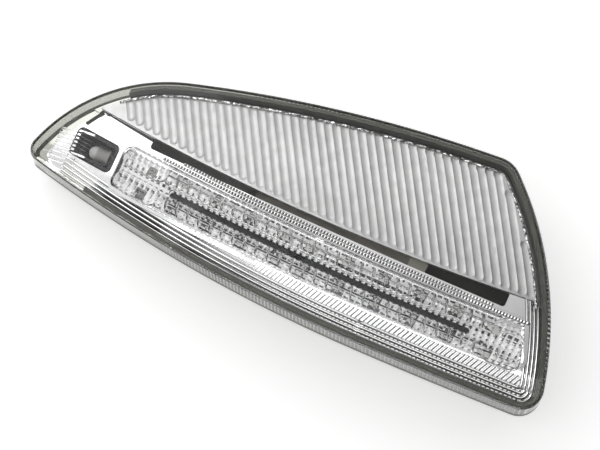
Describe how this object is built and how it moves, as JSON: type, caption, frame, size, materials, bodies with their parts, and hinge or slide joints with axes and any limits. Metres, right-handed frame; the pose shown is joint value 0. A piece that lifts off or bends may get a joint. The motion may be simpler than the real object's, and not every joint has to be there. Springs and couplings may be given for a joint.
{
  "type": "mirror turn signal lamp",
  "caption": "Long curved vehicle turn signal lamp for a door mirror: clear welded lens over a fluted reflector panel, stepped chrome bezel, twin light bars, sealed housing with fixing bosses.",
  "frame": {"origin": "middle of the datum boss's face, at the mouth of its screw bore, in the plane of the three boss faces", "axes": "+X along the length to the wide end, +Y across the width to the fluted panel, +Z out of the lens"},
  "size_m": [0.2039, 0.0831, 0.046],
  "materials": {
    "lens": "clear moulded plastic",
    "bead": "welded bead",
    "housing": "fine grain",
    "panel": "satin metallised",
    "bezel": "bright metallised",
    "optic": "clear cut optic",
    "reflector": "bright metallised",
    "diode_lens": "clear resin",
    "tin": "tinned",
    "holder": "moulded",
    "board": "black solder mask",
    "driver": "green solder mask",
    "diode": "diode body",
    "chip": "moulded case",
    "ceramic": "glazed ceramic",
    "can": "drawn can",
    "ribbon": "film",
    "screw": "zinc plated",
    "membrane": "breathable film",
    "cap": "moulded"
  },
  "bodies": {
    "root": {"outer_lens": "lens", "lens_bead": "bead", "rear_housing": "housing", "fluted_panel": "panel", "trough_bezel": "bezel", "twin_bar_optic": "optic", "bar_reflector": "reflector", "tip_reflector": "reflector", "tip_lamp": "diode_lens", "tip_lamp_leads": "tin", "tip_lamp_holder": "holder", "tip_board": "board", "led_board_tip": "board", "led_board_wide": "board", "bar_leds": "diode", "driver_board": "driver", "driver_chip": "chip", "driver_resistors": "ceramic", "driver_capacitors": "can", "board_links": "tin", "flex_jumper": "ribbon", "flex_plug": "holder", "connector_pins": "tin", "board_screws": "screw", "bezel_screws": "screw", "vent_membrane": "membrane", "vent_cap": "cap"}
  },
  "joints": []
}
